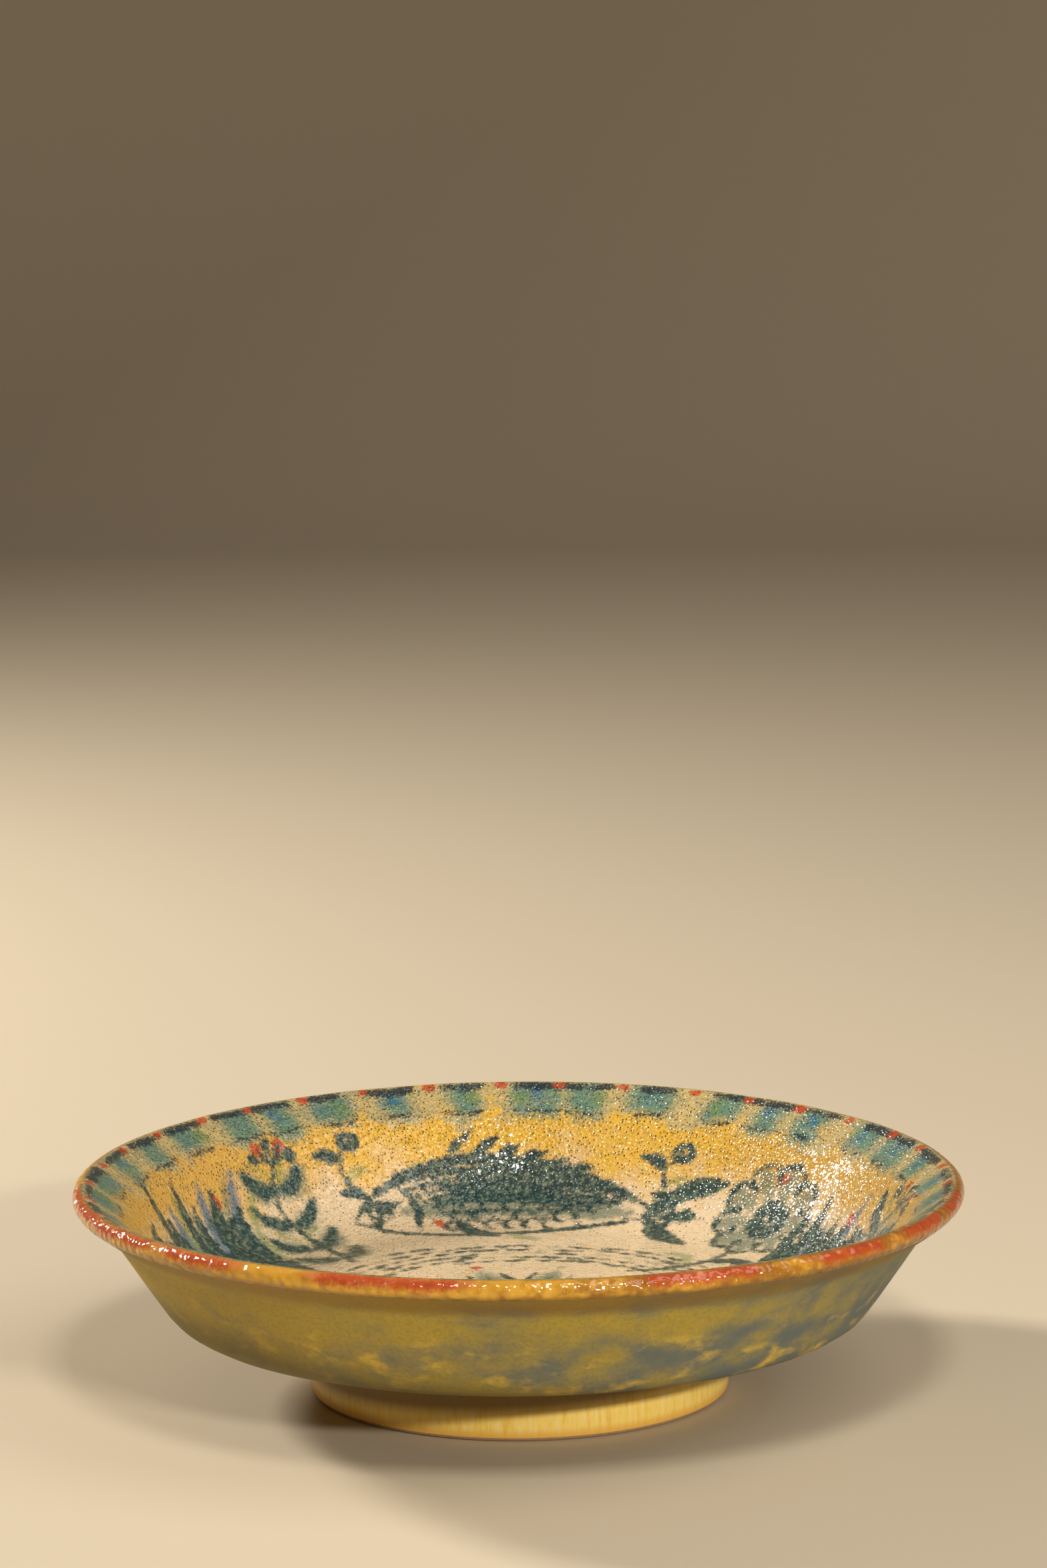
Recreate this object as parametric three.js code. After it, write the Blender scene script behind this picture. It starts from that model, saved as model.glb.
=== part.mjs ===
// Hand-thrown footed bowl with a flared, rounded rim.
// Millimetres, +Z up, origin at the centre of the foot ring's underside.
import * as THREE from 'three';

// Driving dimensions
const rimDiameter = 220;      // outside of the lip
const bowlHeight = 53.4;      // table to the crest of the lip
const wallThickness = 5;      // wall, flared band and rounded lip
const flareLength = 9.6;      // flared band, from the lip's centre down to the wall
const flareAngle = 36;        // degrees above the horizontal
const turnDiameter = 171.6;   // where the underside turns up into the wall
const undersideRise = 5.9;    // climb of the underside from the foot out to that turn
const footDiameter = 104;
const footHeight = 14.3;
const footRingWidth = 6.5;
const floorLift = 5.7;        // middle of the inside floor above the top of the foot
const floorThickness = 7.5;   // floor within the foot ring
const floorDish = 2.2;        // climb of the inside floor from its middle to the wall

// Roundings of the outline's corners
const footEdgeRounding = 0.8;
const footJointRounding = 2.5;
const recessRounding = 3;
const outerTurnRounding = 10;
const innerTurnRounding = 26;
const outerBendRounding = 7;
const innerBendRounding = 12;

// Fineness of the facets
const segmentsAround = 72;
const degreesPerFacet = 15;

const largestSetback = 0.45;  // share of the shorter side next to a corner that its rounding may use

const point = (radius, height) => new THREE.Vector2(radius, height);
const leftOf = (direction) => point(-direction.y, direction.x);

// Points on an arc, from one angle to another, in radians.
function arc(centre, radius, from, to) {
  const steps = Math.max(2, Math.ceil(Math.abs(to - from) / THREE.MathUtils.degToRad(degreesPerFacet)));
  const points = [];
  for (let i = 0; i <= steps; i += 1) {
    const angle = from + ((to - from) * i) / steps;
    points.push(centre.clone().add(point(radius * Math.cos(angle), radius * Math.sin(angle))));
  }
  return points;
}

// The arc that rounds the corner between two neighbours, limited by the shorter side.
function roundedCorner(before, corner, after, rounding) {
  const back = before.clone().sub(corner);
  const ahead = after.clone().sub(corner);
  const shorterSide = Math.min(back.length(), ahead.length());
  back.normalize();
  ahead.normalize();
  const halfAngle = Math.acos(THREE.MathUtils.clamp(back.dot(ahead), -1, 1)) / 2;
  const setback = Math.min(rounding / Math.tan(halfAngle), largestSetback * shorterSide);
  const radius = setback * Math.tan(halfAngle);
  const middle = back.clone().add(ahead).normalize();
  const centre = corner.clone().addScaledVector(middle, radius / Math.sin(halfAngle));
  const start = corner.clone().addScaledVector(back, setback).sub(centre);
  const end = corner.clone().addScaledVector(ahead, setback).sub(centre);
  const sweep = Math.atan2(start.cross(end), start.dot(end));
  return arc(centre, radius, start.angle(), start.angle() + sweep);
}

// A line through corners, each given as [point, rounding]; a rounding of 0 keeps it sharp.
function roundedLine(corners) {
  return corners.flatMap(([corner, rounding], i) => {
    if (rounding === 0) return [corner];
    return roundedCorner(corners[i - 1][0], corner, corners[i + 1][0], rounding);
  });
}

// The corner of the inner surface that lies one wall inside an outer corner.
function insideCorner(before, corner, after, thickness) {
  const sideBefore = leftOf(corner.clone().sub(before).normalize());
  const sideAfter = leftOf(after.clone().sub(corner).normalize());
  const mitre = sideBefore.clone().add(sideAfter).normalize();
  return corner.clone().addScaledVector(mitre, thickness / mitre.dot(sideBefore));
}

// The half section, from the middle of the underside, round the lip, to the middle of the floor.
function bowlOutline() {
  const footRadius = footDiameter / 2;
  const recessRadius = footRadius - footRingWidth;
  const floorHeight = footHeight + floorLift;
  const recessHeight = floorHeight - floorThickness;
  const lipRadius = wallThickness / 2;
  const flare = THREE.MathUtils.degToRad(flareAngle);

  const lipCentre = point(rimDiameter / 2 - lipRadius, bowlHeight - lipRadius);
  const flareDirection = point(Math.cos(flare), Math.sin(flare));
  const lipStart = lipCentre.clone().addScaledVector(leftOf(flareDirection), -lipRadius);
  const lipEnd = lipCentre.clone().addScaledVector(leftOf(flareDirection), lipRadius);

  const footJoint = point(footRadius, footHeight);
  const outerTurn = point(turnDiameter / 2, footHeight + undersideRise);
  const outerBend = lipStart.clone().addScaledVector(flareDirection, -flareLength);
  const innerBend = insideCorner(outerTurn, outerBend, lipStart, wallThickness);

  const wallDirection = outerBend.clone().sub(outerTurn).normalize();
  const wallFoot = outerTurn.clone().addScaledVector(leftOf(wallDirection), wallThickness);
  const innerTurnHeight = floorHeight + floorDish;
  const alongWall = (innerTurnHeight - wallFoot.y) / wallDirection.y;
  const innerTurn = wallFoot.clone().addScaledVector(wallDirection, alongWall);

  const outside = roundedLine([
    [point(0, recessHeight), 0],
    [point(recessRadius, recessHeight), recessRounding],
    [point(recessRadius, 0), footEdgeRounding],
    [point(footRadius, 0), footEdgeRounding],
    [footJoint, footJointRounding],
    [outerTurn, outerTurnRounding],
    [outerBend, outerBendRounding],
    [lipStart, 0],
  ]);
  const lip = arc(lipCentre, lipRadius, flare - Math.PI / 2, flare + Math.PI / 2);
  const inside = roundedLine([
    [lipEnd, 0],
    [innerBend, innerBendRounding],
    [innerTurn, innerTurnRounding],
    [point(0, floorHeight), 0],
  ]);
  return [...outside, ...lip.slice(1, -1), ...inside];
}

function makeBowl() {
  const geometry = new THREE.LatheGeometry(bowlOutline(), segmentsAround);
  geometry.rotateX(Math.PI / 2);
  const glaze = new THREE.MeshStandardMaterial({ color: '#b08d45', roughness: 0.3, metalness: 0 });
  const bowl = new THREE.Mesh(geometry, glaze);
  bowl.name = 'bowl';
  return bowl;
}

const part = new THREE.Group();
part.add(makeBowl());

export default part;
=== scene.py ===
"""A shallow footed bowl, thrown in stoneware, painted inside under a pitted salt-like glaze."""
import math
import random

import bpy
import numpy as np
from mathutils import Matrix, Vector, noise


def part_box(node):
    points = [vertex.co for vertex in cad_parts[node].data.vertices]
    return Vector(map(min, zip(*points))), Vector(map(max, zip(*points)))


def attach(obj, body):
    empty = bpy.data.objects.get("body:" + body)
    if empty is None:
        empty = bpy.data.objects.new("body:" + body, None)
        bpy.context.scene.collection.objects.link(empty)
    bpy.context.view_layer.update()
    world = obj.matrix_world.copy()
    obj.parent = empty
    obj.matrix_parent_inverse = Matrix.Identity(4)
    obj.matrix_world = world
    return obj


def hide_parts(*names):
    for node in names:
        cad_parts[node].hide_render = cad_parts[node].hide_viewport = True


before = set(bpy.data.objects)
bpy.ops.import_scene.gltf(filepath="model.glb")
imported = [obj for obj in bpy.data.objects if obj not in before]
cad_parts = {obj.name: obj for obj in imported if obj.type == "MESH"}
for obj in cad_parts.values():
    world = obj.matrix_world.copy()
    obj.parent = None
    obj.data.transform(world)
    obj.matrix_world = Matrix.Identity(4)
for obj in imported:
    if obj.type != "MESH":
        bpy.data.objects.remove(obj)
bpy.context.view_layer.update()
packed_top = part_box("bowl")[1]  # greatest x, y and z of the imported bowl

MM = 0.001  # the sizes below are in millimetres

# Sizes of the bowl, as the potter would measure it
RIM_RADIUS = packed_top[0] / MM
HEIGHT = packed_top[2] / MM
WALL = 5.0
FLARE_LENGTH = 9.6
FLARE_ANGLE = math.radians(36)
TURN_RADIUS = 85.8
UNDERSIDE_RISE = 5.9
FOOT_RADIUS = 52.0
FOOT_HEIGHT = 14.3
FOOT_RING = 6.5
FLOOR_HEIGHT = 20.0
FLOOR_THICKNESS = 7.5
FLOOR_DISH = 2.2
BARE_BEHIND = 1.6     # bare clay up the inner side of the foot ring
BARE_IN_FRONT = 0.95  # and up its outer side

# Roundings of the section's corners
RECESS_ROUNDING = 3.0
EDGE_ROUNDING = 0.9
JOINT_ROUNDING = 2.5
OUTER_TURN_ROUNDING = 10.0
OUTER_BEND_ROUNDING = 7.0
INNER_BEND_ROUNDING = 12.0
INNER_TURN_ROUNDING = 26.0

# Handwork: the rim sways a little, the wall wavers, and fingers left low rings that wander and fade
RIM_SWAY = 0.5
INSIDE_WAVER = 0.12
INSIDE_WAVER_SPACING = 24
OUTSIDE_WAVER = 0.10
OUTSIDE_WAVER_SPACING = 16
RING_DEPTH = 0.05
RING_SPACING = 4.2
RING_WANDER = 2
RING_WANDER_SPACING = 30
RING_FADE_SPACING = 18

# The skin of the salt-like glaze
PEEL_DEPTH = 0.07
PEEL_SPACING = 2.6
PEEL_CELL = 0.9  # the cells of the orange peel, just coarse enough to show in a whole view

# Mesh spacing along the section, and the widest spacing around it
ROW_INSIDE = 0.98
ROW_OUTSIDE = 2.7
ROW_EDGE = 0.5
ROW_LIP = 0.45
COLUMN_WIDTH = 1.1
FEWEST_COLUMNS = 20
MOST_COLUMNS = 640

random.seed(14)


# The section of the bowl

def unit(v):
    return v / math.hypot(v[0], v[1])


def left_of(v):
    return np.array((-v[1], v[0]))


def arc(centre, radius, start, sweep, spacing):
    steps = max(3, math.ceil(abs(sweep) * radius / spacing))
    angles = start + sweep * np.arange(steps + 1) / steps
    return [centre + radius * np.array((math.cos(a), math.sin(a))) for a in angles]


def rounded(before, corner, after, radius, spacing):
    """The arc that rounds a corner of the section."""
    back, ahead = unit(before - corner), unit(after - corner)
    half = math.acos(max(-1.0, min(1.0, float(back @ ahead)))) / 2
    setback = radius / math.tan(half)
    centre = corner + unit(back + ahead) * radius / math.sin(half)
    start, end = corner + back * setback - centre, corner + ahead * setback - centre
    sweep = math.atan2(start[0] * end[1] - start[1] * end[0], float(start @ end))
    return arc(centre, radius, math.atan2(start[1], start[0]), sweep, spacing)


def straight(points, spacing):
    """The same line with points added wherever two lie further apart than the spacing."""
    filled = [points[0]]
    for a, b in zip(points, points[1:]):
        steps = max(1, math.ceil(math.hypot(*(b - a)) / spacing))
        filled += [a + (b - a) * k / steps for k in range(1, steps + 1)]
    return filled


def corner_line(corners, spacing):
    """A line through corners, each with its rounding."""
    points = []
    for i, (corner, radius) in enumerate(corners):
        if radius == 0:
            points.append(corner)
        else:
            points += rounded(corners[i - 1][0], corner, corners[i + 1][0], radius, spacing)
    return straight(points, spacing)


def section():
    """The half section as rows of (radius, height), with the surface each row belongs to."""
    lip = WALL / 2
    lip_centre = np.array((RIM_RADIUS - lip, HEIGHT - lip))
    out = np.array((math.cos(FLARE_ANGLE), math.sin(FLARE_ANGLE)))
    lip_start, lip_end = lip_centre - left_of(out) * lip, lip_centre + left_of(out) * lip
    outer_turn = np.array((TURN_RADIUS, FOOT_HEIGHT + UNDERSIDE_RISE))
    outer_bend = lip_start - out * FLARE_LENGTH
    wall = unit(outer_bend - outer_turn)
    mitre = unit(left_of(wall) + left_of(out))
    inner_bend = outer_bend + mitre * WALL / float(mitre @ left_of(out))
    wall_foot = outer_turn + left_of(wall) * WALL
    inner_turn = wall_foot + wall * (FLOOR_HEIGHT + FLOOR_DISH - wall_foot[1]) / wall[1]
    recess_radius = FOOT_RADIUS - FOOT_RING
    recess_height = FLOOR_HEIGHT - FLOOR_THICKNESS

    def at(radius, height):
        return np.array((radius, height), float)

    recess = corner_line([
        (at(0, recess_height), 0),
        (at(recess_radius, recess_height), RECESS_ROUNDING),
        (at(recess_radius, BARE_BEHIND), 0),
    ], ROW_OUTSIDE)
    standing_edge = corner_line([
        (at(recess_radius, BARE_BEHIND), 0),
        (at(recess_radius, 0), EDGE_ROUNDING),
        (at(FOOT_RADIUS, 0), EDGE_ROUNDING),
        (at(FOOT_RADIUS, BARE_IN_FRONT), 0),
    ], ROW_EDGE)
    outside = corner_line([
        (at(FOOT_RADIUS, BARE_IN_FRONT), 0),
        (at(FOOT_RADIUS, FOOT_HEIGHT), JOINT_ROUNDING),
        (outer_turn, OUTER_TURN_ROUNDING),
        (outer_bend, OUTER_BEND_ROUNDING),
        (lip_start, 0),
    ], ROW_OUTSIDE)
    lip_arc = arc(lip_centre, lip, FLARE_ANGLE - math.pi / 2, math.pi, ROW_LIP)
    inside = corner_line([
        (lip_end, 0),
        (inner_bend, INNER_BEND_ROUNDING),
        (inner_turn, INNER_TURN_ROUNDING),
        (at(0, FLOOR_HEIGHT), 0),
    ], ROW_INSIDE)
    rows, kinds = [recess[0]], ["recess"]
    for kind, points in (
        ("recess", recess), ("edge", standing_edge), ("outside", outside),
        ("lip", lip_arc), ("inside", inside),
    ):
        rows += points[1:]
        kinds += [kind] * (len(points) - 1)
    return np.array(rows), kinds


# The mesh of the bowl: rings of points, each with twice or half as many as its neighbour or as many

def columns_at(radius):
    """How many points a ring of this radius needs: the fewest, doubled until they lie close enough."""
    count = FEWEST_COLUMNS
    while count < MOST_COLUMNS and 2 * math.pi * radius / count > COLUMN_WIDTH:
        count *= 2
    return count


def ring_faces(first, count, second, other):
    """The faces between two rings of one column count, or of one twice the other's."""
    faces = []
    for j in range(min(count, other)):
        k = j + 1
        if count == other:
            faces.append((first + j, first + k % count, second + k % count, second + j))
        elif other == 2 * count:
            a, b = first + j, first + k % count
            c, d, e = second + 2 * j, second + 2 * j + 1, second + (2 * j + 2) % other
            faces += [(a, d, c), (a, b, d), (b, e, d)]
        else:
            a, b, c = first + 2 * j, first + 2 * j + 1, first + (2 * j + 2) % count
            d, e = second + j, second + k % other
            faces += [(a, b, d), (b, e, d), (b, c, e)]
    return faces


def revolve(rows, kinds):
    """Points, faces and, for each point, its row; faces come with the surface they belong to."""
    points, faces, face_kinds, row_of = [], [], [], []
    previous, previous_count = None, 0
    for i, (radius, height) in enumerate(rows):
        start = len(points)
        if radius < 0.01:
            points.append((0.0, 0.0, height))
            row_of.append(i)
            count = 1
        else:
            count = columns_at(radius)
            if previous is not None and previous_count > 1:
                count = max(previous_count // 2, min(previous_count * 2, count))
            for j in range(count):
                a = 2 * math.pi * j / count
                points.append((radius * math.cos(a), radius * math.sin(a), height))
                row_of.append(i)
        if previous is not None:
            if previous_count == 1:
                made = [(previous, start + (j + 1) % count, start + j) for j in range(count)]
            elif count == 1:
                made = [(previous + j, previous + (j + 1) % previous_count, start)
                        for j in range(previous_count)]
            else:
                made = ring_faces(previous, previous_count, start, count)
            faces += made
            face_kinds += [kinds[i]] * len(made)
        previous, previous_count = start, count
    return np.array(points), faces, face_kinds, np.array(row_of)


rows, kinds = section()
points, faces, face_kinds, row_of = revolve(rows, kinds)
steps = np.hypot(*np.diff(rows, axis=0).T)
row_path = np.concatenate((np.cumsum(steps[::-1])[::-1], (0.0,)))
path = row_path[row_of]  # along the section, from the middle of the inside floor
around = np.arctan2(points[:, 1], points[:, 0])
kind_of = np.array(kinds)[row_of]
CREST = float(row_path[np.argmax(rows[:, 1])])  # path at the crest of the lip


# Painting: every stroke is a row of round dabs in the plane of (path, direction), in millimetres.
# The motifs are in ink, wash, leaf green, red and a little cobalt. The band under the lip is in
# teal, cobalt, leaf green, red and the dark line, and the lip itself is brushed with brick.

BRUSH = 1.45  # how heavily the brush is loaded

tones = {name: [] for name in ("ink", "wash", "leaf", "red", "teal", "cobalt", "line", "brick")}


def spot(degrees, height, size=1.0, lean=0.0, flip=1):
    """Maps a motif's own (across, outward) millimetres to the painted plane, bent with the ring."""
    middle = math.radians(degrees)
    tilt = math.radians(lean)

    def place(across, outward):
        across, outward = across * size * flip, outward * size
        a = across * math.cos(tilt) + outward * math.sin(tilt)
        o = outward * math.cos(tilt) - across * math.sin(tilt)
        angle, reach = middle - a / height, height + o
        return reach * math.cos(angle), reach * math.sin(angle)

    return place


def smooth_line(knots, spacing=0.35):
    """Points along a smooth curve through the knots."""
    knots = np.array(knots, float)
    if len(knots) == 1:
        return knots
    padded = np.vstack((2 * knots[0] - knots[1], knots, 2 * knots[-1] - knots[-2]))
    pieces = []
    for a, b, c, d in zip(padded, padded[1:], padded[2:], padded[3:]):
        t = np.linspace(0, 1, max(2, math.ceil(math.hypot(*(c - b)) / spacing)))[:, None]
        pieces.append(0.5 * (2 * b + (c - a) * t + (2 * a - 5 * b + 4 * c - d) * t ** 2
                             + (3 * b - a - 3 * c + d) * t ** 3))
    return np.vstack(pieces)


def stroke(tone, place, knots, half_width, taper="both"):
    """One brush stroke through the knots; its width swells and thins as the brush is pressed."""
    line = smooth_line(knots)
    t = np.linspace(0, 1, len(line))
    swell = {
        "both": np.sin(math.pi * np.clip(t, 0.03, 0.97)) ** 0.55,
        "tip": (1 - t) ** 0.5 * 0.85 + 0.15,
        "none": np.ones_like(t),
    }[taper]
    phase = random.uniform(0, 6.3)
    slow = np.sin(phase + t * len(line) * 0.05)
    quick = np.sin(2.3 * phase + t * len(line) * 0.17)
    hand = 1 + 0.16 * slow + 0.08 * quick
    for (across, outward), width in zip(line, BRUSH * half_width * swell * hand):
        tones[tone].append((*place(across, outward), width))


def leaf(tone, place, base, tip, half_width, bend=0.0):
    """An almond of one press of the brush, from base to tip."""
    base, tip = np.array(base, float), np.array(tip, float)
    middle = (base + tip) / 2 + left_of(tip - base) * bend
    stroke(tone, place, (base, middle, tip), half_width)


def ring(tone, place, centre, radius, half_width, start=0, end=360):
    """A circle, or the part of one between two angles in degrees."""
    angles = np.radians(np.linspace(start, end, max(6, int(abs(end - start) / 24))))
    stroke(tone, place, [(centre[0] + radius * math.cos(a), centre[1] + radius * math.sin(a))
                         for a in angles], half_width, "none")


def fish(place):
    """A plump fish swimming to its left, its back filled in and its flank scaled."""
    back = [(-34, 0), (-26, 7), (-12, 12), (4, 11.5), (18, 7), (29, 1.5)]
    belly = [(-34, 0), (-26, -6), (-12, -10), (4, -9.5), (18, -5), (29, -0.5)]
    stroke("ink", place, back, 1.1)
    stroke("ink", place, belly, 0.8)
    for k in range(5):
        stroke("ink", place, [(-22 + 1.5 * k, 8.2 - 1.6 * k), (-8, 10.2 - 1.7 * k),
                              (8, 9.0 - 1.6 * k), (24 - 2 * k, 3.4 - 0.9 * k)], 1.0)
    stroke("wash", place, [(-22, 1), (-6, 2), (12, 1), (24, 0)], 4.5)
    leaf("ink", place, (28, 0), (42, 10), 2.4, 0.12)
    leaf("ink", place, (28, 0), (42, -9), 2.2, -0.12)
    leaf("ink", place, (29, 0), (39, 1), 1.2)
    for k in range(6):
        leaf("ink", place, (-12 + 4.2 * k, 11.4 - 0.5 * k), (-7 + 4.4 * k, 18.5 - 1.6 * k), 0.9, 0.1)
    leaf("ink", place, (-12, -3), (-4, -12), 1.6, -0.15)
    leaf("leaf", place, (-2, -9), (7, -15), 1.8, -0.15)
    stroke("ink", place, [(-22, 7.5), (-19.5, 2), (-21, -5)], 0.8)
    ring("ink", place, (-27.5, 1.8), 2.3, 0.55)
    stroke("ink", place, [(-27.5, 1.8)], 0.9, "none")
    stroke("red", place, [(-17, -2.5), (-15, -5)], 1.0)
    for row in range(3):
        for k in range(8 - row):
            ring("ink", place, (-13 + 4.3 * k + 2.1 * (row % 2), 1.6 - 3.3 * row), 2.0, 0.38, 100, 260)


def sprig(place, height, pairs):
    """A bending stem with leaves in pairs and berries at its top."""
    stem = [(0, -height / 2), (2.2, -height / 6), (-0.6, height / 5), (1.4, height / 2)]
    stroke("ink", place, stem, 0.7, "tip")
    for k in range(pairs):
        rise = -height * 0.42 + height * 0.72 * k / max(1, pairs - 1)
        reach = 10.5 - 1.1 * k
        for side in (-1, 1):
            foot = (1.0 * math.sin(rise * 0.2), rise)
            tip = (side * reach, rise + 6.5)
            leaf("wash", place, foot, tip, 2.7, -0.16 * side)
            leaf("ink", place, foot, (tip[0] * 0.96, tip[1]), 1.25, -0.16 * side)
            if k % 2:
                leaf("leaf", place, (foot[0], foot[1] + 2), (tip[0] * 0.7, tip[1] + 1.5), 1.1, 0.1 * side)
    for k in range(5):
        a = math.radians(20 + 35 * k)
        top = (1.4 + 4.6 * math.cos(a), height / 2 + 4.6 * math.sin(a))
        stroke("ink", place, [(1.4, height / 2), top], 0.4, "none")
        stroke("red" if k % 2 else "ink", place, [top], 1.35, "none")


def bloom(place, radius, petals):
    """A round flower head: petals about a dark heart, on a hooked stem with one long leaf."""
    for k in range(petals):
        a = 2 * math.pi * k / petals
        tip = (radius * math.cos(a), radius * math.sin(a))
        leaf("wash", place, (tip[0] * 0.35, tip[1] * 0.35), tip, 2.3)
        ring("ink", place, (tip[0] * 0.72, tip[1] * 0.72), radius * 0.27, 0.5,
             math.degrees(a) - 120, math.degrees(a) + 120)
    for k in range(3):
        ring("ink", place, (0.4 * k, -0.3 * k), radius * (0.12 + 0.1 * k), 0.85)
    stroke("red", place, [(-radius * 0.2, radius * 0.66), (0.6, radius * 0.74)], 1.0)
    stroke("ink", place, [(1, -radius), (4, -radius - 8), (1, -radius - 17), (-6, -radius - 22)], 0.9)
    leaf("ink", place, (3, -radius - 8), (17, -radius - 3), 1.7, 0.18)
    leaf("leaf", place, (2, -radius - 13), (-12, -radius - 8), 1.9, -0.2)


def bird(place):
    """A small standing bird with a raised tail and a barred wing."""
    stroke("ink", place, [(-13, 9), (-9, 12), (-4, 9), (0, 3), (8, 1), (16, 6)], 1.0)
    stroke("ink", place, [(-13, 9), (-11, 3), (-7, -5), (1, -8), (9, -4), (16, 6)], 0.8)
    stroke("wash", place, [(-7, 4), (-2, -2), (7, -2)], 4.6)
    for k in range(6):
        leaf("ink", place, (-5 + 1.6 * k, 2.5 - 1.5 * k), (9 + 1.9 * k, 2.0 - 1.1 * k), 1.0, 0.12)
    for k in range(4):
        leaf("ink", place, (14, 4), (25 + k, 14 - 4.0 * k), 1.2, 0.08)
    leaf("ink", place, (-13, 9.4), (-18, 8), 0.8)
    ring("ink", place, (-9.2, 8.4), 1.2, 0.45)
    leaf("red", place, (-8, 0), (-5, -4), 1.3)
    for x in (-2, 3):
        stroke("ink", place, [(x, -8), (x + 0.5, -14), (x - 2.5, -15)], 0.45, "none")


def thicket(place, blades=13):
    """A dense tuft of leaning blades in green black, copper green and blue."""
    for k in range(blades):
        foot = 1.5 * (k - blades / 2)
        lean = 0.5 * foot + random.uniform(-2, 2)
        tip = (foot + lean, random.uniform(8, 19))
        tone = ("ink", "wash", "ink", "cobalt", "leaf")[k % 5]
        leaf(tone, place, (foot, random.uniform(-17, -12)), tip, random.uniform(1.3, 2.1), 0.06)
    for k in range(12):
        stroke("ink", place, [(random.uniform(-9, 9), random.uniform(-12, 8))], 1.5, "none")
    stroke("red", place, [(4, 13), (5.5, 10)], 1.0)


def tendril(place, length):
    """A wavering shoot with small leaves to either side and a round bud."""
    knots = [(3.0 * math.sin(q * 1.3), length * q / 5) for q in range(6)]
    stroke("ink", place, knots, 0.6, "tip")
    for q in range(1, 5):
        side = 1 if q % 2 else -1
        tip = (knots[q][0] + side * 6, knots[q][1] + 3)
        leaf("ink" if q % 3 else "leaf", place, knots[q], tip, 1.1, 0.15 * side)
    ring("ink", place, knots[5], 1.8, 0.9)


def ripples(degrees, height, length, lines):
    """Rows of short brushed dashes, as water is painted."""
    for k in range(lines):
        place = spot(degrees, height - 3.4 * k)
        start = -length / 2 + random.uniform(0, 3)
        while start < length / 2:
            reach = random.uniform(3, 8)
            tone = "wash" if random.random() < 0.3 else "ink"
            rise = random.uniform(-0.7, 0.7)
            stroke(tone, place, [(start, 0), (start + reach / 2, rise), (start + reach, 0.3)], 0.5)
            start += reach + random.uniform(0.8, 3)


def rosette(petals):
    """The flower in the middle of the floor, about the bowl's own axis."""
    for k in range(petals):
        place = spot(360 * k / petals, 20.0)
        leaf("wash", place, (0, -9), (0, 11), 3.2)
        leaf("ink", place, (-1.4, -8), (-3.2, 8.5), 0.8, 0.12)
        leaf("ink", place, (1.4, -8), (3.2, 8.5), 0.8, -0.12)
        stroke("ink", place, [(0, -4), (0, 5)], 0.45)
        stroke("red" if k % 2 else "leaf", place, [(0, 15)], 1.1, "none")
    for radius in (4.0, 7.0):
        for k in range(24):
            a = 2 * math.pi * k / 24
            tones["ink"].append((radius * math.cos(a), radius * math.sin(a), 0.55))


def rim_band(repeats=37):
    """The border under the lip.

    Red dots, a broken dark line, soft copper green patches touched with cobalt or leaf green, and a
    thin broken line below them.
    """
    turn = 360 / repeats
    for k in range(repeats):
        at_dot = 93 - turn * k + random.uniform(-0.8, 0.8)
        dot = spot(at_dot, CREST - 1.7)
        length = random.uniform(0.9, 2.0)
        stroke("red", dot, [(-length, 0), (length, random.uniform(-0.4, 0.4))], random.uniform(0.8, 1.1))
        patch = spot(at_dot - turn / 2 + random.uniform(-1.3, 1.3), CREST - 2.0)
        half = random.uniform(4.6, 8.4)
        aside = random.uniform(-2.0, 2.0)
        dash = [(aside - half, 0.1), (aside, random.uniform(-0.5, 0.2)), (aside + half, 0.1)]
        stroke("line", patch, dash, random.uniform(0.6, 1.0), "none")
        half = random.uniform(0.6, 5.8)
        low = random.uniform(-8.6, -4.8)
        for deep in (-2.0, (low - 2.0) / 2, low):
            shift = random.uniform(-0.9, 0.9)
            stroke("teal", patch, [(shift - half, deep), (shift + half, deep + random.uniform(-0.8, 0.8))],
                   2.0, "none")
        if random.random() < 0.7:
            left = random.uniform(-2.5, 0)
            stroke("cobalt", patch, [(left, -2.2), (left + random.uniform(0.5, 2.5), -4.0)], 0.8, "none")
        if random.random() < 0.45:
            beside = random.choice((-1, 1)) * random.uniform(3.0, 6.0)
            stroke("leaf", patch, [(beside, -2.5), (beside + random.uniform(-1.5, 1.5), -6.0)], 1.5)
        reach = random.uniform(3.0, 8.0)
        stroke("line", patch, [(-reach, -9.0), (0, -9.4 + random.uniform(-0.4, 0.4)), (reach, -8.8)],
               random.uniform(0.18, 0.32))


LIP_MIDDLE = CREST + 2.0  # path at the middle of the brushing on the lip
LIP_BRUSH = 1.3


def brushed_lip():
    """Brick red brushed along the lip in passes of unequal length, given as angles from the front."""
    passes = [(-84, -53), (-48, -38), (-24, -8), (16, 29), (40, 50), (57, 66), (71, 79),
              (96, 112), (128, 133), (150, 171), (186, 190), (204, 226), (238, 251)]
    for start, end in passes:
        steps = max(2, int((end - start) / 3))
        knots = [spot(start + (end - start) * k / steps - 90, LIP_MIDDLE)(0, random.uniform(-0.6, 0.6))
                 for k in range(steps + 1)]
        for x, y in smooth_line(knots):
            tones["brick"].append((x, y, LIP_BRUSH))


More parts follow.
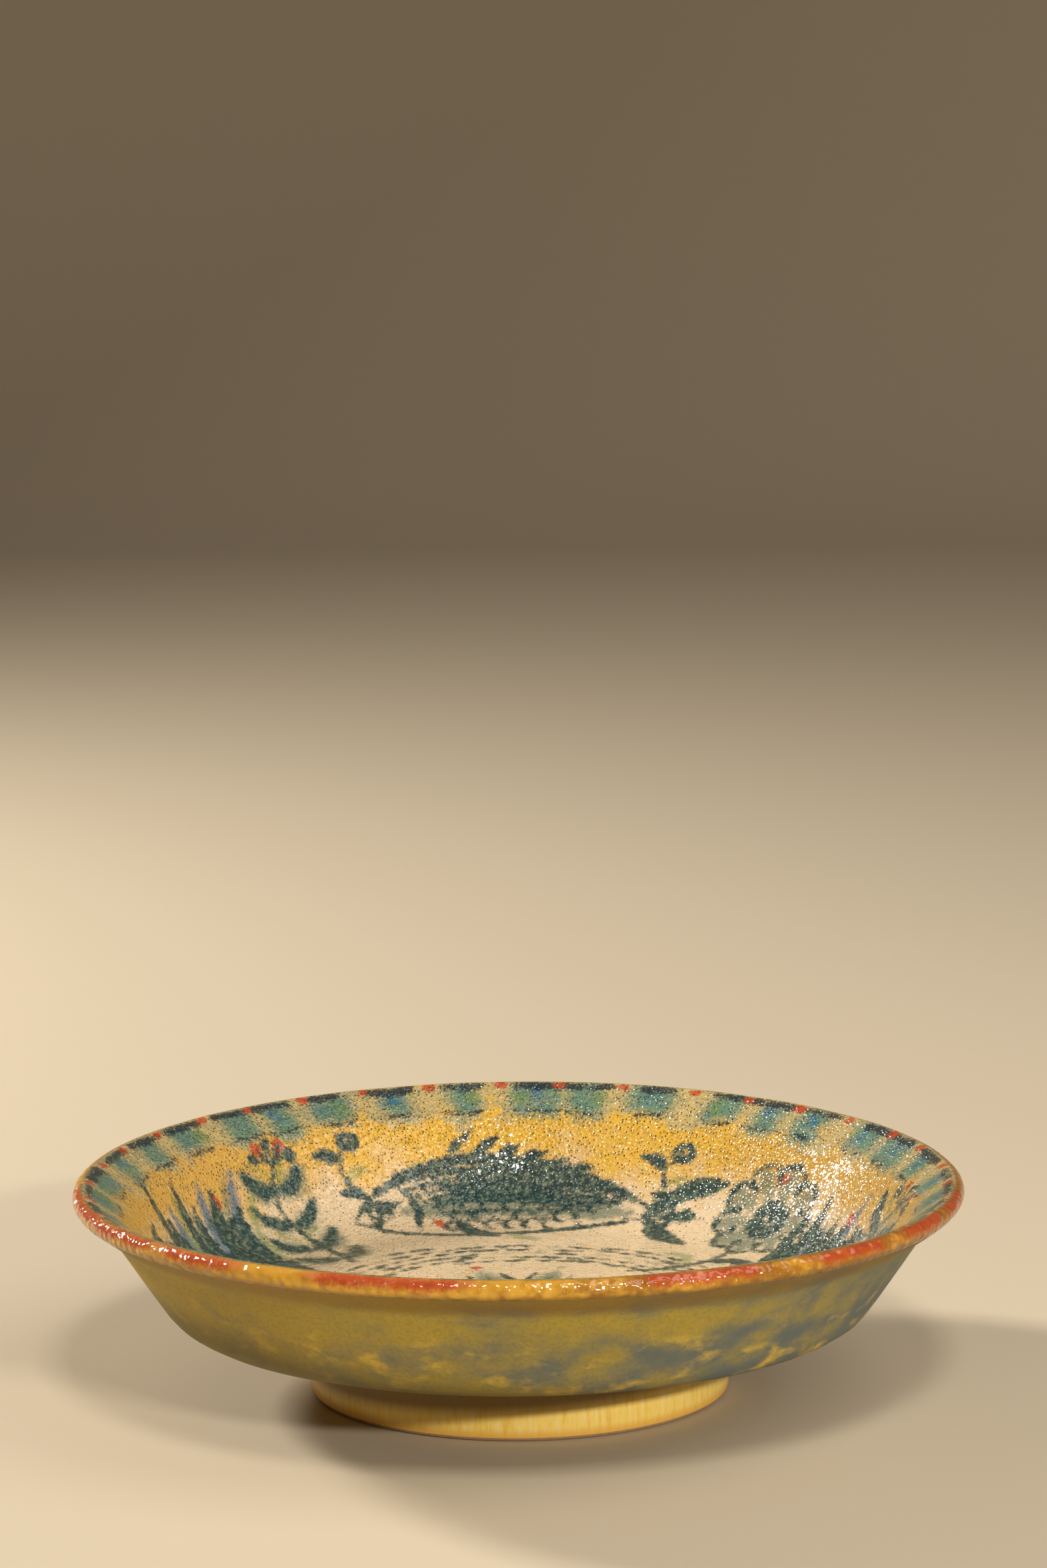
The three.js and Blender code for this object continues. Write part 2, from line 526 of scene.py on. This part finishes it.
def paint_inside():
    """The painter's round: a fish, birds, blooms and grasses on the wall, water and a rosette below."""
    fish(spot(91, 80, 1.3))
    bloom(spot(40, 86, 1.35), 12, 9)
    sprig(spot(8, 80, 1.35, 8), 36, 4)
    tendril(spot(62, 74), 26)
    tendril(spot(119, 76), 28)
    sprig(spot(136, 80, 1.2, 4), 36, 4)
    thicket(spot(155, 82, 1.3, 6), 15)
    bloom(spot(177, 84, 1.1, 6), 11, 8)
    bird(spot(201, 78, 1.5))
    sprig(spot(226, 80, 1.3, -6), 38, 4)
    tendril(spot(242, 76), 32)
    fish(spot(272, 80, 1.25, 0, -1))
    thicket(spot(305, 82, 1.3, -4))
    bloom(spot(325, 84, 1.2, -4), 12, 9)
    bird(spot(346, 78, 1.45, 0, -1))
    thicket(spot(21, 80, 1.1, -8), 9)
    for k in range(9):
        ripples(50 + 40 * k, 56 - 2 * (k % 2), 34, 5)
    rosette(10)


rim_band()
brushed_lip()
paint_inside()


# The strokes as signed distances at the mesh's points, negative within a stroke

REACH = 7.0              # distances beyond this don't matter
CELL = 12                # dabs are handled by squares of this side
PAINTED_PAST_CREST = 5   # how far over the crest of the lip the painting goes


def distance_to(dabs, where):
    """The distance from each place to the edge of the nearest dab."""
    field = np.full(len(where), REACH)
    dabs = np.array(dabs)
    cells = np.floor(dabs[:, :2] / CELL).astype(int)
    for cell in np.unique(cells, axis=0):
        group = dabs[(cells == cell).all(axis=1)]
        low, high = group[:, :2].min(axis=0) - CELL, group[:, :2].max(axis=0) + CELL
        near = np.nonzero(((where > low) & (where < high)).all(axis=1))[0]
        if not len(near):
            continue
        across = where[near, None, 0] - group[None, :, 0]
        along = where[near, None, 1] - group[None, :, 1]
        gaps = np.hypot(across, along)
        field[near] = np.minimum(field[near], (gaps - group[None, :, 2]).min(axis=1))
    return field


painted = path < CREST + PAINTED_PAST_CREST
plane = np.stack((path * np.cos(around), path * np.sin(around)), axis=1)
fields = {}
for tone, dabs in tones.items():
    fields[tone] = np.full(len(points), REACH)
    if dabs:
        fields[tone][painted] = distance_to(dabs, plane[painted])


# The mesh itself, with the small unevenness of handwork and of the glaze

def mesh_of_bowl():
    mesh = bpy.data.meshes.new("bowl_glazed")
    mesh.from_pydata((points * MM).tolist(), [], faces)
    mesh.polygons.foreach_set("material_index", [SURFACES.index(kind) for kind in face_kinds])
    mesh.polygons.foreach_set("use_smooth", np.ones(len(faces), bool))
    mesh.update()
    normals = np.empty(len(points) * 3)
    mesh.vertices.foreach_get("normal", normals)
    normals = normals.reshape(-1, 3)

    lift = np.zeros(len(points))
    for i, (x, y, z) in enumerate(points):
        if kind_of[i] == "edge":
            continue
        place = Vector((x, y, z))
        if kind_of[i] == "inside":
            peel = PEEL_DEPTH * noise.noise(place / PEEL_SPACING)
            lift[i] = peel + INSIDE_WAVER * noise.noise(place / INSIDE_WAVER_SPACING)
        else:
            wander = RING_WANDER * noise.noise(place / RING_WANDER_SPACING)
            rings = math.sin(2 * math.pi * z / RING_SPACING + wander)
            lift[i] = RING_DEPTH * rings * noise.noise(place / RING_FADE_SPACING + Vector((9, 4, 2)))
            lift[i] += OUTSIDE_WAVER * noise.noise(place / OUTSIDE_WAVER_SPACING)
    moved = points + normals * lift[:, None]
    share_of_height = np.clip(points[:, 2] / HEIGHT, 0, 1)
    moved[:, 2] += RIM_SWAY * np.cos(2 * (around - math.pi / 2)) * share_of_height ** 2
    mesh.vertices.foreach_set("co", (moved * MM).ravel())
    for name, values in {**fields, "path": path}.items():
        layer = mesh.attributes.new(name, "FLOAT", "POINT")
        layer.data.foreach_set("value", values)
    mesh.update()
    return mesh


# Materials

def linear(colour):
    """An sRGB hex colour as linear red, green, blue and alpha."""
    parts = [int(colour[i:i + 2], 16) / 255 for i in (1, 3, 5)]
    return tuple(c / 12.92 if c <= 0.04045 else ((c + 0.055) / 1.055) ** 2.4 for c in parts) + (1.0,)


def add(tree, kind, inputs=(), **settings):
    """Adds a node with its settings, its values and its links; a node given as a value lends its output."""
    made = tree.nodes.new("ShaderNode" + kind)
    for name, value in settings.items():
        setattr(made, name, value)
    for socket, value in dict(inputs).items():
        if isinstance(value, bpy.types.Node):
            value = next(output for output in value.outputs if output.enabled)
        if isinstance(value, bpy.types.NodeSocket):
            tree.links.new(value, made.inputs[socket])
        else:
            made.inputs[socket].default_value = value
    return made


MIX_A, MIX_B = 6, 7  # the colour sockets of a mix node
METRE = 1000.0       # patterns are laid on in metres, so a pattern's scale is this over its size in mm
GRAIN = 0.7          # speckle in the fired colours, finer in truth, drawn just coarse enough to show
GRIT = 0.6           # sand in the bare clay, finer in truth, drawn just coarse enough to show
SOFT = {"interpolation_type": "SMOOTHSTEP"}
COLOUR = {"data_type": "RGBA"}


def start_material(name):
    material = bpy.data.materials.new(name)
    material.use_nodes = True
    material.node_tree.nodes.clear()
    return material, material.node_tree


def painted_salt_glaze():
    """Stoneware under a clear salt-like glaze, fired over brushed iron, cobalt and copper colours.

    The glaze draws up into an orange peel of cells about 1 mm apart. Many cells end in a dark pinhole,
    and their rounded skin breaks each reflection into small sharp glints. The ground is ochre high on
    the wall, duller and greyer to either side, partly as a painted sheen, and buff below. On the lip the
    glaze lies smoother, in low swellings.
    """
    material, tree = start_material("painted_salt_glaze")
    where = add(tree, "TexCoord").outputs["Object"]
    along = add(tree, "Attribute", attribute_name="path").outputs["Fac"]
    broad = add(tree, "TexNoise", {"Vector": where, "Scale": METRE / 9, "Detail": 2})
    clouds = add(tree, "TexNoise", {"Vector": where, "Scale": METRE / 5, "Detail": 4, "Roughness": 0.6})
    middling = add(tree, "TexNoise", {"Vector": where, "Scale": METRE / 2.6, "Detail": 3, "Roughness": 0.6})
    fine = add(tree, "TexNoise", {"Vector": where, "Scale": METRE / GRAIN, "Detail": 2})
    ragged_wide = add(tree, "Math", {0: middling, 1: 0.5}, operation="SUBTRACT")
    ragged_fine = add(tree, "Math", {0: fine, 1: 0.5}, operation="SUBTRACT")

    # Peel cells and their pinholes, which lie closer together in the ochre than in the buff. Each
    # cell has two random shares of its own, one for the hole and one for the height of its dome.
    cells = add(tree, "TexVoronoi", {"Vector": where, "Scale": METRE / PEEL_CELL, "Randomness": 1.0})
    chance = add(tree, "SeparateColor", {"Color": cells.outputs["Color"]})
    hole_share, dome_share = chance.outputs["Red"], chance.outputs["Green"]
    sparse = add(tree, "MapRange", {
        "Value": along, "From Min": 84, "From Max": 102, "To Min": 0.82, "To Max": 0.15})
    holed = add(tree, "Math", {0: hole_share, 1: sparse}, operation="GREATER_THAN")
    hole = add(tree, "MapRange", {"Value": cells, "From Min": 0.3, "From Max": 0.2}, **SOFT)
    pit = add(tree, "Math", {0: hole, 1: holed}, operation="MULTIPLY")
    fall = add(tree, "Math", {0: cells, 1: cells}, operation="MULTIPLY")

    # Ground: buff, then ochre up the wall, then greyer under the lip. The borders follow the path,
    # made cloudy by the broad noise, which adds about 13 mm to it.
    height = add(tree, "Math", {0: broad, 1: 26.0, 2: along}, operation="MULTIPLY_ADD")
    rise = add(tree, "MapRange", {"Value": height, "From Min": 97, "From Max": 116}, **SOFT)
    side = add(tree, "SeparateXYZ", {"Vector": where}).outputs["X"]
    # Duller and greyer to either side of the middle, partly as a painted sheen of the glaze
    off_middle = add(tree, "Math", {0: side}, operation="ABSOLUTE")
    dull_and_sheen = add(tree, "MapRange", {
        "Value": off_middle, "From Min": 30 * MM, "From Max": 85 * MM, "To Max": 0.65}, **SOFT)
    ochre = add(tree, "Mix", {0: dull_and_sheen, MIX_A: linear("#e0ac38"), MIX_B: linear("#bf9450")}, **COLOUR)
    ground = add(tree, "Mix", {0: rise, MIX_A: linear("#d8bd96"), MIX_B: ochre}, **COLOUR)
    runs = add(tree, "MapRange", {
        "Value": clouds, "From Min": 0.55, "From Max": 0.75, "To Max": 0.45}, **SOFT)
    ground = add(tree, "Mix", {0: runs, MIX_A: ground, MIX_B: linear("#c99f58")}, **COLOUR)
    under_lip = add(tree, "MapRange", {
        "Value": height, "From Min": 121, "From Max": 125, "To Max": 0.8}, **SOFT)
    ground = add(tree, "Mix", {0: under_lip, MIX_A: ground, MIX_B: linear("#bda872")}, **COLOUR)
    grain = add(tree, "MapRange", {
        "Value": fine, "From Min": 0.46, "From Max": 0.32, "To Max": 0.4}, **SOFT)
    grain = add(tree, "Math", {0: grain, 1: rise}, operation="MULTIPLY")
    ground = add(tree, "Mix", {0: grain, MIX_A: ground, MIX_B: linear("#8a6a2e")}, **COLOUR)
    smoke = add(tree, "MapRange", {
        "Value": middling, "From Min": 0.45, "From Max": 0.7, "To Max": 0.6}, **SOFT)
    smoke = add(tree, "Math", {0: smoke, 1: under_lip}, operation="MULTIPLY")
    ground = add(tree, "Mix", {0: smoke, MIX_A: ground, MIX_B: linear("#5c7468")}, **COLOUR)

    def brushed(under, tone, colour, waver, edge, depth, strongest, grainy=0.6):
        """A painted tone over what lies under it, its edge made ragged by the brush and the glaze.

        It begins edge millimetres outside the stroke and is at its strongest depth millimetres
        inside. Its edge wavers by about half of waver, and grainy is the share of that in fine grain.
        """
        gap = add(tree, "Attribute", attribute_name=tone).outputs["Fac"]
        gap = add(tree, "Math", {0: ragged_wide, 1: waver, 2: gap}, operation="MULTIPLY_ADD")
        gap = add(tree, "Math", {0: ragged_fine, 1: waver * grainy, 2: gap}, operation="MULTIPLY_ADD")
        amount = add(tree, "MapRange", {
            "Value": gap, "From Min": edge, "From Max": -depth, "To Max": strongest}, **SOFT)
        return add(tree, "Mix", {0: amount, MIX_A: under, MIX_B: colour}, **COLOUR)

    copper = add(tree, "Mix", {0: clouds, MIX_A: linear("#31697c"), MIX_B: linear("#648650")}, **COLOUR)
    cobalt, thin_wash, leaf_green = linear("#2b6280"), linear("#596c58"), linear("#66803f")
    iron_line, iron_red = linear("#1f2930"), linear("#b9431f")
    ground = brushed(ground, "teal", copper, waver=5.8, edge=3.6, depth=2.8, strongest=0.92, grainy=1.7)
    ground = brushed(ground, "wash", thin_wash, waver=4.5, edge=1.2, depth=2.2, strongest=0.75)
    ground = brushed(ground, "cobalt", cobalt, waver=3.5, edge=1.4, depth=1.4, strongest=0.8)
    ground = brushed(ground, "leaf", leaf_green, waver=3.4, edge=0.8, depth=1.6, strongest=0.6, grainy=1.0)
    ground = brushed(ground, "line", iron_line, waver=3.2, edge=0.8, depth=0.6, strongest=0.9, grainy=1.0)
    ground = brushed(ground, "red", iron_red, waver=2.2, edge=0.5, depth=0.5, strongest=0.88, grainy=1.0)
    ink = add(tree, "Mix", {0: middling, MIX_A: linear("#080f10"), MIX_B: linear("#2b5250")}, **COLOUR)
    patchy = add(tree, "TexNoise", {"Vector": where, "Scale": METRE / 1.5, "Detail": 2, "Roughness": 0.6})
    thin = add(tree, "MapRange", {
        "Value": patchy, "From Min": 0.46, "From Max": 0.66, "To Max": 0.75}, **SOFT)
    ink = add(tree, "Mix", {0: thin, MIX_A: ink, MIX_B: linear("#6b785f")}, **COLOUR)
    ground = brushed(ground, "ink", ink, waver=3.0, edge=0.9, depth=0.5, strongest=0.97)
    speck = add(tree, "Math", {0: pit, 1: 0.95}, operation="MULTIPLY")
    ground = add(tree, "Mix", {0: speck, MIX_A: ground, MIX_B: linear("#3c2810")}, **COLOUR)

    # Lip: ochre, warmed to orange round the brushed brick red on its upper half, toasted browner to
    # the positive x side, deepened there as painted shade, and brown below, where the glaze thickens
    # towards the groove and painted shade falls under the roll
    near_brick = add(tree, "Attribute", attribute_name="brick").outputs["Fac"]
    upper = add(tree, "MapRange", {"Value": along, "From Min": 125.0, "From Max": 123.0}, **SOFT)
    warm = add(tree, "MapRange", {
        "Value": near_brick, "From Min": 6.9, "From Max": 3.0, "To Min": 0.3}, **SOFT)
    warm = add(tree, "Math", {0: warm, 1: upper}, operation="MULTIPLY")
    lip = add(tree, "Mix", {0: warm, MIX_A: linear("#c8982f"), MIX_B: linear("#bb7434")}, **COLOUR)
    # Browner to the positive x side: painted shade there, mottled by the clouds
    toast_and_shade = add(tree, "Math", {0: side, 1: 2.6, 2: clouds}, operation="MULTIPLY_ADD")
    toast_and_shade = add(tree, "MapRange", {
        "Value": toast_and_shade, "From Min": 0.44, "From Max": 0.72, "To Max": 0.85}, **SOFT)
    lip = add(tree, "Mix", {0: toast_and_shade, MIX_A: lip, MIX_B: linear("#8a5410")}, **COLOUR)
    brick = linear("#aa3a1f")
    lip = brushed(lip, "brick", brick, waver=3.6, edge=1.7, depth=1.3, strongest=0.82, grainy=1.0)
    # Brown on the lower outer lip, grading into the groove: pooled glaze and painted shade
    beneath = add(tree, "MapRange", {
        "Value": along, "From Min": 125.0, "From Max": 127.1, "To Max": 0.85}, **SOFT)
    lip = add(tree, "Mix", {0: beneath, MIX_A: lip, MIX_B: linear("#7d5a17")}, **COLOUR)
    is_lip = add(tree, "MapRange", {"Value": along, "From Min": 120.4, "From Max": 121.4}, **SOFT)
    colour = add(tree, "Mix", {0: is_lip, MIX_A: ground, MIX_B: lip}, **COLOUR)

    # Relief: rolling peel, the domes of its cells, and pinholes. The lip has little of these, but
    # broader swellings, whose tops each catch one glint.
    roll = add(tree, "TexNoise", {"Vector": where, "Scale": METRE / 1.7, "Detail": 1})
    bubble = add(tree, "Math", {0: fall, 1: dome_share}, operation="MULTIPLY")
    relief = add(tree, "Math", {0: roll, 1: 0.36}, operation="MULTIPLY")
    relief = add(tree, "Math", {0: bubble, 1: -1.9, 2: relief}, operation="MULTIPLY_ADD")
    relief = add(tree, "Math", {0: pit, 1: -0.5, 2: relief}, operation="MULTIPLY_ADD")
    even = add(tree, "MapRange", {
        "Value": along, "From Min": 122.0, "From Max": 119.5, "To Min": 0.12, "To Max": 1.0}, **SOFT)
    relief = add(tree, "Math", {0: relief, 1: even}, operation="MULTIPLY")
    swell = add(tree, "TexNoise", {"Vector": where, "Scale": METRE / 2.1, "Detail": 0})
    swell = add(tree, "Math", {0: swell, 1: is_lip}, operation="MULTIPLY")
    relief = add(tree, "Math", {0: swell, 1: 2.4, 2: relief}, operation="MULTIPLY_ADD")
    bump = add(tree, "Bump", {"Height": relief, "Strength": 1.0, "Distance": 0.34 * MM})
    shader = add(tree, "BsdfPrincipled", {
        "Base Color": colour, "Roughness": 0.08, "IOR": 1.55, "Normal": bump})
    add(tree, "OutputMaterial", {"Surface": shader})
    return material


def olive_mottle_glaze():
    """Satin ash glaze outside, poured over iron and cobalt: olive yellow clouded with blue grey.

    It breaks yellow on the belly and darkens below it, partly as painted shade. It pools brown in the
    groove under the lip, deepened by painted shade, and runs thin and gold down the foot in fine streaks,
    brown again at the top of the foot, a painted shadow of the belly over a little pooled glaze.
    """
    material, tree = start_material("olive_mottle_glaze")
    where = add(tree, "TexCoord").outputs["Object"]
    place = add(tree, "SeparateXYZ", {"Vector": where})
    side, height = place.outputs["X"], place.outputs["Z"]

    # Clouds and breaks are squeezed in height, so they lie along the bowl
    flat = add(tree, "VectorMath", {0: where, 1: (1, 1, 1.7)}, operation="MULTIPLY")
    patches = add(tree, "TexNoise", {"Vector": flat, "Scale": METRE / 16, "Detail": 4, "Roughness": 0.55})
    breaks = add(tree, "TexNoise", {"Vector": flat, "Scale": METRE / 9, "Detail": 3, "Roughness": 0.55})
    grain = add(tree, "TexNoise", {"Vector": where, "Scale": METRE / 0.9, "Detail": 2})

    # Blue grey lies thickest to the positive x side and round the belly, where yellow breaks it
    belly = add(tree, "Math", {0: height, 1: 24 * MM}, operation="SUBTRACT")
    belly = add(tree, "Math", {0: belly}, operation="ABSOLUTE")
    belly = add(tree, "MapRange", {
        "Value": belly, "From Min": 16 * MM, "From Max": 4 * MM, "To Max": 0.15}, **SOFT)
    blue = add(tree, "Math", {0: side, 1: 1.9, 2: patches}, operation="MULTIPLY_ADD")
    blue = add(tree, "Math", {0: blue, 1: belly}, operation="ADD")
    blue = add(tree, "MapRange", {
        "Value": blue, "From Min": 0.38, "From Max": 0.88, "To Max": 0.85}, **SOFT)
    body = add(tree, "Mix", {0: blue, MIX_A: linear("#ab9439"), MIX_B: linear("#48616e")}, **COLOUR)
    yellow = add(tree, "MapRange", {"Value": breaks, "From Min": 0.52, "From Max": 0.78}, **SOFT)
    zone = add(tree, "MapRange", {"Value": belly, "From Min": 0.0, "From Max": 0.09, "To Max": 0.95})
    yellow = add(tree, "Math", {0: yellow, 1: zone}, operation="MULTIPLY")
    body = add(tree, "Mix", {0: yellow, MIX_A: body, MIX_B: linear("#d8b542")}, **COLOUR)

    # Darker below the belly, partly as painted shade, which reaches higher to the negative x side
    depth = add(tree, "Math", {0: side, 1: 0.1, 2: height}, operation="MULTIPLY_ADD")
    low = add(tree, "MapRange", {
        "Value": depth, "From Min": 28 * MM, "From Max": 17 * MM, "To Max": 0.65}, **SOFT)
    body = add(tree, "Mix", {0: low, MIX_A: body, MIX_B: linear("#4f4622")}, **COLOUR)
    # Brown where the glaze pools in the groove under the lip, deepened as painted shade under the flare
    pool_and_shade = add(tree, "MapRange", {
        "Value": height, "From Min": 42.5 * MM, "From Max": 46.5 * MM, "To Max": 0.62}, **SOFT)
    body = add(tree, "Mix", {0: pool_and_shade, MIX_A: body, MIX_B: linear("#86611b")}, **COLOUR)
    dust = add(tree, "MapRange", {
        "Value": grain, "From Min": 0.4, "From Max": 0.72, "To Max": 0.25}, **SOFT)
    body = add(tree, "Mix", {0: dust, MIX_A: body, MIX_B: linear("#5d5426")}, **COLOUR)

    # Foot: gold in upright streaks, amber at the toe, and brown at its top, painted shade of the belly's
    # shadow over a little pooled glaze, starting lower on the negative x side as the shadow does
    drawn = add(tree, "VectorMath", {0: where, 1: (1, 1, 0.22)}, operation="MULTIPLY")
    streaks = add(tree, "TexNoise", {"Vector": drawn, "Scale": METRE / 1.2, "Detail": 3})
    pale = add(tree, "MapRange", {
        "Value": streaks, "From Min": 0.42, "From Max": 0.72, "To Max": 0.42}, **SOFT)
    foot = add(tree, "Mix", {0: pale, MIX_A: linear("#f7d268"), MIX_B: linear("#f8e4a4")}, **COLOUR)
    amber = add(tree, "MapRange", {
        "Value": streaks, "From Min": 0.46, "From Max": 0.28, "To Max": 0.32}, **SOFT)
    foot = add(tree, "Mix", {0: amber, MIX_A: foot, MIX_B: linear("#d9982c")}, **COLOUR)
    toe = add(tree, "MapRange", {
        "Value": height, "From Min": 3.6 * MM, "From Max": 1.0 * MM, "To Max": 0.7}, **SOFT)
    foot = add(tree, "Mix", {0: toe, MIX_A: foot, MIX_B: linear("#dfa035")}, **COLOUR)
    shaded = add(tree, "Math", {0: side, 1: -0.05, 2: height}, operation="MULTIPLY_ADD")
    foot_shade_and_pool = add(tree, "MapRange", {
        "Value": shaded, "From Min": 5.6 * MM, "From Max": 9.5 * MM, "To Max": 0.85}, **SOFT)
    foot = add(tree, "Mix", {0: foot_shade_and_pool, MIX_A: foot, MIX_B: linear("#69460a")}, **COLOUR)
    on_foot = add(tree, "MapRange", {"Value": height, "From Min": 15.4 * MM, "From Max": 13.8 * MM}, **SOFT)
    colour = add(tree, "Mix", {0: on_foot, MIX_A: body, MIX_B: foot}, **COLOUR)

    # Satin on the body, glossier on the foot, with a faint roll of the skin
    gloss = add(tree, "MapRange", {
        "Value": height, "From Min": 16 * MM, "From Max": 13 * MM, "To Min": 0.58, "To Max": 0.35}, **SOFT)
    skin = add(tree, "TexNoise", {"Vector": where, "Scale": METRE / 1.6, "Detail": 2})
    bump = add(tree, "Bump", {"Height": skin, "Strength": 0.3, "Distance": 0.08 * MM})
    shader = add(tree, "BsdfPrincipled", {
        "Base Color": colour, "Roughness": gloss, "IOR": 1.42, "Normal": bump})
    add(tree, "OutputMaterial", {"Surface": shader})
    return material


def bare_stoneware():
    """Unglazed fired clay, wiped clean where the bowl stands: toasted brown, matt and gritty."""
    material, tree = start_material("bare_stoneware")
    where = add(tree, "TexCoord").outputs["Object"]
    grit = add(tree, "TexNoise", {"Vector": where, "Scale": METRE / GRIT, "Detail": 3})
    tint = add(tree, "Mix", {0: grit, MIX_A: linear("#8a6b4c"), MIX_B: linear("#b8976f")}, **COLOUR)
    bump = add(tree, "Bump", {"Height": grit, "Strength": 0.6, "Distance": 0.12 * MM})
    shader = add(tree, "BsdfPrincipled", {"Base Color": tint, "Roughness": 0.85, "Normal": bump})
    add(tree, "OutputMaterial", {"Surface": shader})
    return material


SURFACES = ["inside", "lip", "outside", "recess", "edge"]
bowl = bpy.data.objects.new("bowl_glazed", mesh_of_bowl())
bpy.context.collection.objects.link(bowl)
painted_glaze, olive_glaze, clay = painted_salt_glaze(), olive_mottle_glaze(), bare_stoneware()
for finish in (painted_glaze, painted_glaze, olive_glaze, olive_glaze, clay):
    bowl.data.materials.append(finish)
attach(bowl, "root")
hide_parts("bowl")


# Floor, light and camera

def plain_paint(name, colour, roughness):
    material, tree = start_material(name)
    shader = add(tree, "BsdfPrincipled", {"Base Color": linear(colour), "Roughness": roughness})
    add(tree, "OutputMaterial", {"Surface": shader})
    return material


def make_floor():
    """A pale floor that sweeps up into a plain backdrop all round, well outside the lights."""
    flat, sweep, top, around_count = 2.3, 0.9, 2.6, 96
    profile = [(flat * k / 4, 0.0) for k in range(5)]
    for k in range(1, 13):
        a = math.pi / 2 * k / 12
        profile.append((flat + sweep * math.sin(a), sweep * (1 - math.cos(a))))
    profile.append((flat + sweep, top))
    verts, quads = [(0.0, 0.0, 0.0)], []
    turns = [2 * math.pi * j / around_count for j in range(around_count)]
    for r, z in profile[1:]:
        verts += [(r * math.cos(turn), r * math.sin(turn), z) for turn in turns]
    for j in range(around_count):
        quads.append((0, 1 + j, 1 + (j + 1) % around_count))
    for i in range(len(profile) - 2):
        for j in range(around_count):
            a, b = 1 + i * around_count + j, 1 + i * around_count + (j + 1) % around_count
            quads.append((a, a + around_count, b + around_count, b))
    mesh = bpy.data.meshes.new("floor")
    mesh.from_pydata(verts, [], quads)
    mesh.polygons.foreach_set("use_smooth", np.ones(len(quads), bool))
    mesh.materials.append(plain_paint("pale_floor", "#c2b196", 0.95))
    floor = bpy.data.objects.new("floor", mesh)
    bpy.context.collection.objects.link(floor)


def softbox(name, direction, distance, width, height, watts, colour):
    """A studio lamp with a soft box, at a distance from the bowl in metres and facing it."""
    lamp = bpy.data.lights.new(name, "AREA")
    lamp.shape = "RECTANGLE"
    lamp.size, lamp.size_y = width, height
    lamp.energy = watts
    lamp.color = linear(colour)[:3]
    holder = bpy.data.objects.new(name, lamp)
    towards = Vector(direction).normalized()
    holder.location = towards * distance
    holder.rotation_euler = towards.to_track_quat("Z", "Y").to_euler()
    bpy.context.collection.objects.link(holder)


def make_lights():
    """A window light behind, a strip in front that the lip glints in, and two soft fills above."""
    softbox("window_light", (-0.71, 0.47, 0.48), 1.6, 0.24, 0.24, 28, "#fffcf6")
    softbox("front_light", (0.464, -0.803, 0.371), 1.7, 0.30, 0.06, 18.5, "#fffbf4")
    softbox("high_light", (0.08, -0.58, 0.81), 1.5, 0.24, 0.24, 8, "#fffdf8")
    softbox("side_fill", (0.58, -0.18, 0.79), 1.6, 1.0, 1.0, 8, "#ffffff")
    world = bpy.data.worlds.new("studio")
    bpy.context.scene.world = world
    world.use_nodes = True
    world.node_tree.nodes["Background"].inputs["Color"].default_value = linear("#c9cdd2")
    world.node_tree.nodes["Background"].inputs["Strength"].default_value = 0.16


# The photograph's view, fitted to the outlines of the rim, the wall and the foot
LENS_MM, LONG_SIDE_MM = 105.0, 36.0
CAMERA_DISTANCE = 1.1502
CAMERA_ELEVATION = math.radians(15.63)
CAMERA_PITCH = math.radians(8.172)
CAMERA_YAW = math.radians(0.107)
CAMERA_ROLL = math.radians(-0.441)


def make_camera():
    data = bpy.data.cameras.new("camera")
    data.lens, data.sensor_fit, data.sensor_height = LENS_MM, "VERTICAL", LONG_SIDE_MM
    data.clip_start, data.clip_end = 0.05, 60.0
    forward = Vector((math.sin(CAMERA_YAW) * math.cos(CAMERA_PITCH),
                      math.cos(CAMERA_YAW) * math.cos(CAMERA_PITCH), -math.sin(CAMERA_PITCH)))
    level = forward.cross(Vector((0, 0, 1))).normalized()
    upward = level.cross(forward)
    right = level * math.cos(CAMERA_ROLL) + upward * math.sin(CAMERA_ROLL)
    up = upward * math.cos(CAMERA_ROLL) - level * math.sin(CAMERA_ROLL)
    camera = bpy.data.objects.new("camera", data)
    place = Vector((0, -math.cos(CAMERA_ELEVATION), math.sin(CAMERA_ELEVATION))) * CAMERA_DISTANCE
    axes = Matrix((right, up, -forward)).transposed().to_4x4()
    camera.matrix_world = Matrix.Translation(place) @ axes
    bpy.context.collection.objects.link(camera)
    bpy.context.scene.camera = camera


make_floor()
make_lights()
make_camera()
bpy.context.scene.view_settings.view_transform = "Standard"
